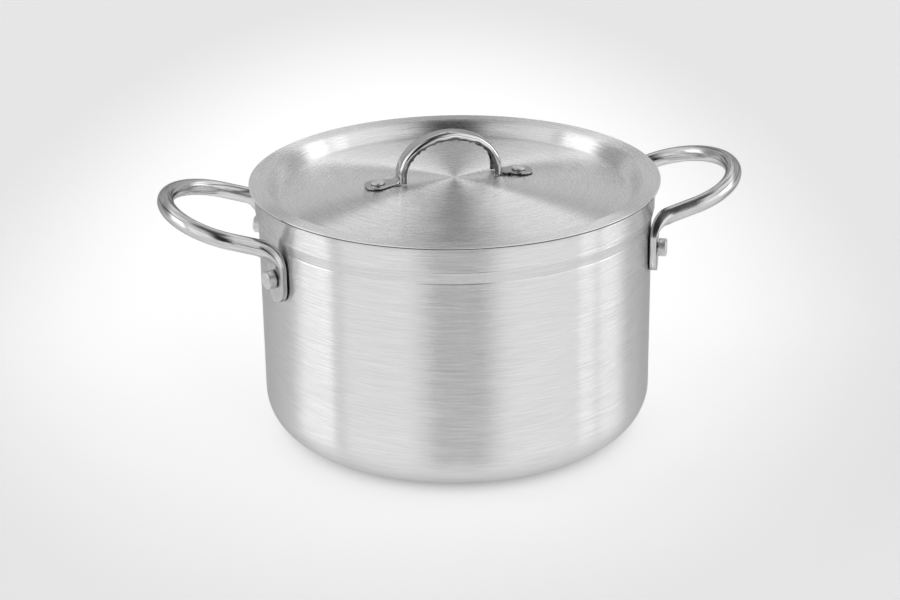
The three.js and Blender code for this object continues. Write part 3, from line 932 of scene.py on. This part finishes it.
def grey_colour(level):
    return (level, level, level, 1)


def grey_between(tree, fraction, low, high):
    value = between(tree, fraction, low, high)
    return add_node(tree, "ShaderNodeCombineColor", {0: value, 1: value, 2: value}).outputs[0]


def mixed_colour(tree, factor, first, second):
    node = add_node(tree, "ShaderNodeMix", {"Factor": factor}, data_type="RGBA")
    for key, value in (("A_Color", first), ("B_Color", second)):
        socket = next(entry for entry in node.inputs if entry.identifier == key)
        set_socket(tree, socket, value)
    return next(entry for entry in node.outputs if entry.identifier == "Result_Color")


def ramp_over(tree, value, stops):
    """Greys by places from 0 to 1, eased from stop to stop."""
    node = add_node(tree, "ShaderNodeValToRGB", {"Fac": value})
    ramp = node.color_ramp
    ramp.interpolation = "EASE"
    for index, (place, share) in enumerate(stops):
        if index < len(ramp.elements):
            element = ramp.elements[index]
            element.position = place
        else:
            element = ramp.elements.new(place)
        element.color = grey_colour(share)
    return node.outputs["Color"]


def relief(tree, height, strength, distance):
    inputs = {"Strength": strength, "Distance": distance, "Height": height}
    return add_node(tree, "ShaderNodeBump", inputs).outputs[0]


# Metals

def new_metal(name):
    material = bpy.data.materials.new(name)
    material.use_nodes = True
    tree = material.node_tree
    tree.nodes.clear()
    shader = add_node(tree, "ShaderNodeBsdfPrincipled", {"Metallic": 1.0})
    add_node(tree, "ShaderNodeOutputMaterial", {"Surface": shader.outputs[0]})
    return material, tree, shader


def brush_vector(tree, around, across):
    """Coordinates for streaks that run round the axis: slow around it and fast across the brush lines."""
    parts = parts_of(tree, object_place(tree))
    inputs = {
        "X": calculate(tree, "MULTIPLY", parts["X"], around),
        "Y": calculate(tree, "MULTIPLY", parts["Y"], around),
        "Z": calculate(tree, "MULTIPLY", attribute(tree, "along"), across),
    }
    return add_node(tree, "ShaderNodeCombineXYZ", inputs).outputs[0]


def brushed_normal(tree, tangent, line, plain):
    """The normal, which leans across the lines where the metal isn't plain, and sways along them."""
    hair = noise(tree, brush_vector(tree, *HAIR_LINES), detail=1)
    normal = add_node(tree, "ShaderNodeNewGeometry").outputs["Normal"]
    across = vectors(tree, "CROSS_PRODUCT", normal, tangent)
    hair_lean = between(tree, hair, -HAIR_LEAN, HAIR_LEAN)
    line_lean = between(tree, line, -LINE_LEAN, LINE_LEAN)
    brushed = calculate(tree, "SUBTRACT", 1, plain)
    lean = calculate(tree, "MULTIPLY", calculate(tree, "ADD", hair_lean, line_lean), brushed)
    sway = between(tree, line, -LINE_SWAY, LINE_SWAY)
    leaning = vectors(tree, "ADD", normal, scaled(tree, across, lean))
    swaying = vectors(tree, "ADD", leaning, scaled(tree, tangent, sway))
    return add_node(tree, "ShaderNodeVectorMath", {0: swaying}, operation="NORMALIZE").outputs[0]


def brushed_aluminium(name, grey, roughness, edge):
    """Aluminium brushed round its axis, whose lines turn the reflection."""
    material, tree, shader = new_metal(name)
    line = noise(tree, brush_vector(tree, *BRUSH_LINES), detail=2)
    scratch = noise(tree, brush_vector(tree, *SCRATCHES), detail=2)
    plain = attribute(tree, "plain")
    tangent = add_node(tree, "ShaderNodeTangent", direction_type="RADIAL", axis="Z").outputs[0]
    metal = grey_between(tree, scratch, grey - SCRATCH_DARK, grey + SCRATCH_BRIGHT)
    spread = between(tree, line, roughness - LINE_ROUGHNESS, roughness + LINE_ROUGHNESS)
    smoothing = calculate(tree, "SUBTRACT", 1, calculate(tree, "MULTIPLY", plain, PLAIN_SMOOTHING))
    looks = {
        "Normal": brushed_normal(tree, tangent, line, plain),
        "Tangent": tangent,
        # painted shade where the shade mark is set: the lower half of the lid's lip and the underside beside
        # it
        "Base Color": mixed_colour(tree, attribute(tree, "shade"), metal, grey_colour(PAINTED_SHADE_GREY)),
        "Roughness": calculate(tree, "MULTIPLY", spread, smoothing),
        "Specular Tint": grey_colour(edge),
        "Anisotropic": 1.0,
        "Anisotropic Rotation": BRUSH_TURN,
    }
    set_inputs(tree, shader, looks)
    return material


def rod_noise(tree, along, around, detail):
    """A noise that is drawn out along a rod."""
    place = attribute(tree, "grain", "Vector")
    return noise(tree, vectors(tree, "MULTIPLY", place, (along, around, around)), detail)


def drawn_steel(name, grey, roughness, edge):
    """Satin steel rod with fine lines along its length, left by drawing and polishing, and painted
    reflections as dark streaks.
    """
    material, tree, shader = new_metal(name)
    lines = rod_noise(tree, *ROD_LINES, detail=3)
    bands = rod_noise(tree, *ROD_BANDS, detail=2)
    reflection_streaks = rod_noise(tree, *ROD_REFLECTION_STREAKS, detail=1)
    height = calculate(tree, "ADD", bands, calculate(tree, "MULTIPLY", lines, ROD_LINE_SHARE))
    unstreaked = eased(tree, reflection_streaks, STREAK_FROM, STREAK_TO)
    metal = grey_between(tree, lines, grey - ROD_DARK, grey + ROD_BRIGHT)
    looks = {
        "Normal": relief(tree, height, *ROD_RELIEF),
        # painted reflection: dark streaks along the rod stand in for the dark parts of the studio that it
        # mirrors
        "Base Color": mixed_colour(tree, unstreaked, grey_colour(REFLECTION_STREAK_GREY), metal),
        "Roughness": between(tree, bands, roughness - ROD_SMOOTHER, roughness + ROD_ROUGHER),
        "Specular Tint": grey_colour(edge),
    }
    set_inputs(tree, shader, looks)
    return material


def strap_painted_light(tree, place):
    """Share of the grey on the strap, painted light: dark lines beside its rounded corners and dark edges as
    shade, lighter bands as highlights.
    """
    wander = between(tree, noise(tree, place, detail=1, scale=STRAP_WANDER), 1 - PAINTED_LIGHT_SWAY, 1 + PAINTED_LIGHT_SWAY)
    return ramp_over(tree, calculate(tree, "MULTIPLY", attribute(tree, "depth"), wander), STRAP_PAINTED_LIGHT)


def polished_steel(name, grey, roughness, edge):
    """Bright steel with faint polishing marks, and painted shade and highlights along the folds."""
    material, tree, shader = new_metal(name)
    place = object_place(tree)
    marks = noise(tree, place, detail=2, scale=STRAP_POLISH)
    swell = noise(tree, place, detail=2, scale=STRAP_SWELL)
    metal = grey_between(tree, swell, grey - STRAP_DARK, grey + STRAP_BRIGHT)
    looks = {
        "Normal": relief(tree, swell, *STRAP_RELIEF),
        "Base Color": vectors(tree, "MULTIPLY", metal, strap_painted_light(tree, place)),
        "Roughness": between(tree, marks, roughness - STRAP_SMOOTHER, roughness + STRAP_ROUGHER),
        "Specular Tint": grey_colour(edge),
    }
    set_inputs(tree, shader, looks)
    return material


def satin_aluminium(name, grey, roughness):
    """The grained, slightly dented metal of pressed rivet heads."""
    material, tree, shader = new_metal(name)
    place = object_place(tree)
    grain = noise(tree, place, detail=3, scale=RIVET_GRAIN)
    dents = noise(tree, place, detail=2, scale=RIVET_DENTS)
    height = calculate(tree, "ADD", dents, calculate(tree, "MULTIPLY", grain, RIVET_GRAIN_SHARE))
    looks = {
        "Normal": relief(tree, height, *RIVET_RELIEF),
        "Base Color": grey_between(tree, dents, grey - RIVET_DARK, grey + RIVET_BRIGHT),
        "Roughness": between(tree, grain, roughness - RIVET_SPREAD, roughness + RIVET_SPREAD),
    }
    set_inputs(tree, shader, looks)
    return material


def finish_piece(piece, body, material):
    piece.data.materials.clear()
    piece.data.materials.append(material)
    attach(piece, body)


# Camera, light and floor

def make_camera():
    data = bpy.data.cameras.new("camera")
    data.sensor_fit = "HORIZONTAL"
    data.lens = FOCAL_LENGTH * data.sensor_width / IMAGE_WIDTH
    camera = bpy.data.objects.new("camera", data)
    bpy.context.scene.collection.objects.link(camera)
    lean = Matrix.Rotation(math.pi / 2 - CAMERA_ELEVATION, 4, "X")
    roll = Matrix.Rotation(CAMERA_ROLL, 4, "Z")
    back = Matrix.Translation((0, 0, CAMERA_DISTANCE))
    camera.matrix_world = facing @ Matrix.Translation(CAMERA_AIM) @ lean @ roll @ back
    bpy.context.scene.camera = camera


def place_in_turn(tree, across, towards, turn):
    """A bearing as a place from 0 to 1 in a turn, with 0.5 straight towards the camera."""
    bearing = calculate(tree, "ARCTAN2", across, towards)
    return calculate(tree, "ADD", calculate(tree, "DIVIDE", bearing, turn), 0.5)


def wall_ramp(tree, place, walls):
    """Brightness of the light walls at a place from 0 to 1 in a turn."""
    stops = []
    for first, last, level in walls:
        stops += [(azimuth / 360 + 0.5, level / WALL_LIMIT) for azimuth in (first, last)]
    return ramp_over(tree, place, stops)


def make_world():
    world = bpy.data.worlds.new("studio")
    world.use_nodes = True
    tree = world.node_tree
    tree.nodes.clear()
    direction = add_node(tree, "ShaderNodeTexCoord").outputs["Generated"]
    inputs = {"Vector": direction, "Angle": -CAMERA_AZIMUTH}
    seen = add_node(tree, "ShaderNodeVectorRotate", inputs, rotation_type="Z_AXIS").outputs[0]
    parts = parts_of(tree, seen)
    nearness = calculate(tree, "MULTIPLY", parts["Y"], -1)
    halfway = calculate(tree, "ADD", nearness, math.cos(CAMERA_ELEVATION))
    low = wall_ramp(tree, place_in_turn(tree, parts["X"], halfway, math.pi), LOW_WALLS)
    high = wall_ramp(tree, place_in_turn(tree, parts["X"], nearness, 2 * math.pi), HIGH_WALLS)
    elevation = calculate(tree, "ARCSINE", parts["Z"])
    raised = eased(tree, elevation, math.radians(HIGH_FROM), math.radians(HIGH_TO))
    overhead = eased(tree, elevation, math.radians(CEILING_FROM), math.radians(CEILING_TO))
    walls = mixed_colour(tree, raised, low, high)
    light = mixed_colour(tree, overhead, walls, grey_colour(CEILING / WALL_LIMIT))
    background = add_node(tree, "ShaderNodeBackground", {"Color": light, "Strength": WALL_LIMIT})
    add_node(tree, "ShaderNodeOutputWorld", {"Surface": background.outputs[0]})
    bpy.context.scene.world = world


def pool_level(tree):
    """Brightness of the painted pool of light at a place on the floor, dimmed in a painted shadow round the
    pot's base.
    """
    place = object_place(tree)
    parts = parts_of(tree, vectors(tree, "SUBTRACT", place, POOL_MIDDLE))
    behind = calculate(tree, "DIVIDE", parts["Y"], POOL_BACK)
    before = calculate(tree, "DIVIDE", parts["Y"], -POOL_FRONT)
    inputs = {
        "X": calculate(tree, "DIVIDE", parts["X"], POOL_WIDTH),
        "Y": calculate(tree, "MAXIMUM", behind, before),
    }
    reach = add_node(tree, "ShaderNodeCombineXYZ", inputs).outputs[0]
    level = eased(tree, length_of(tree, reach), POOL_CORE, 1, POOL_LEVEL, POOL_EDGE)
    # painted shadow: the glow dims towards the pot's base
    share = eased(tree, length_of(tree, place), PAINTED_SHADOW_FROM, PAINTED_SHADOW_TO, PAINTED_SHADOW_SHARE, 1)
    return calculate(tree, "MULTIPLY", level, share)


def floor_material():
    """Matt, with a glow that camera, mirror and glass see, but that lights nothing."""
    material = bpy.data.materials.new("floor")
    material.use_nodes = True
    tree = material.node_tree
    tree.nodes.clear()
    rays = add_node(tree, "ShaderNodeLightPath").outputs
    seen = calculate(tree, "MAXIMUM", rays["Is Camera Ray"], rays["Is Glossy Ray"])
    seen = calculate(tree, "MAXIMUM", seen, rays["Is Transmission Ray"])
    straight = calculate(tree, "LESS_THAN", rays["Diffuse Depth"], ONE_BOUNCE)
    strength = calculate(tree, "MULTIPLY", calculate(tree, "MULTIPLY", seen, straight), pool_level(tree))
    glow = add_node(tree, "ShaderNodeEmission", {"Strength": strength})
    matt = add_node(tree, "ShaderNodeBsdfDiffuse", {"Color": grey_colour(FLOOR_GREY)})
    both = add_node(tree, "ShaderNodeAddShader", {0: glow.outputs[0], 1: matt.outputs[0]})
    add_node(tree, "ShaderNodeOutputMaterial", {"Surface": both.outputs[0]})
    return material


def make_floor():
    half = FLOOR_SIZE / 2
    corners = [(-half, -half, 0), (half, -half, 0), (half, half, 0), (-half, half, 0)]
    mesh = bpy.data.meshes.new("floor")
    mesh.from_pydata(corners, [], [(0, 1, 2, 3)])
    mesh.materials.append(floor_material())
    floor = bpy.data.objects.new("floor", mesh)
    floor.matrix_world = facing
    bpy.context.scene.collection.objects.link(floor)


make_camera()

pot_metal = brushed_aluminium("pot_aluminium", *POT_METAL)
lid_metal = brushed_aluminium("lid_aluminium", *LID_METAL)
handle_metal = drawn_steel("handle_steel", *ROD_METAL)
strap_metal = polished_steel("lid_handle_steel", *STRAP_METAL)
rivet_metal = satin_aluminium("rivet_aluminium", *RIVET_METAL)

pot = make_pot()
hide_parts("pot_body")
finish_piece(pot, "pot", pot_metal)

lid = make_lid()
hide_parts("lid")
finish_piece(lid, "lid", lid_metal)

for side_name in HANDLES:
    side_handle = make_side_handle(side_name)
    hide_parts("side_handle_" + side_name)
    finish_piece(side_handle, "pot", handle_metal)
    for tab_side in SIDES:
        tab_rivet = make_handle_rivet(side_name, tab_side)
        finish_piece(tab_rivet, "pot", rivet_metal)

lid_handle = make_lid_handle()
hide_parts("lid_handle")
finish_piece(lid_handle, "lid", strap_metal)
for foot_name in FOOT_SIDES:
    finish_piece(make_lid_rivet(foot_name), "lid", rivet_metal)

make_floor()
make_world()

bpy.context.scene.view_settings.view_transform = "Standard"
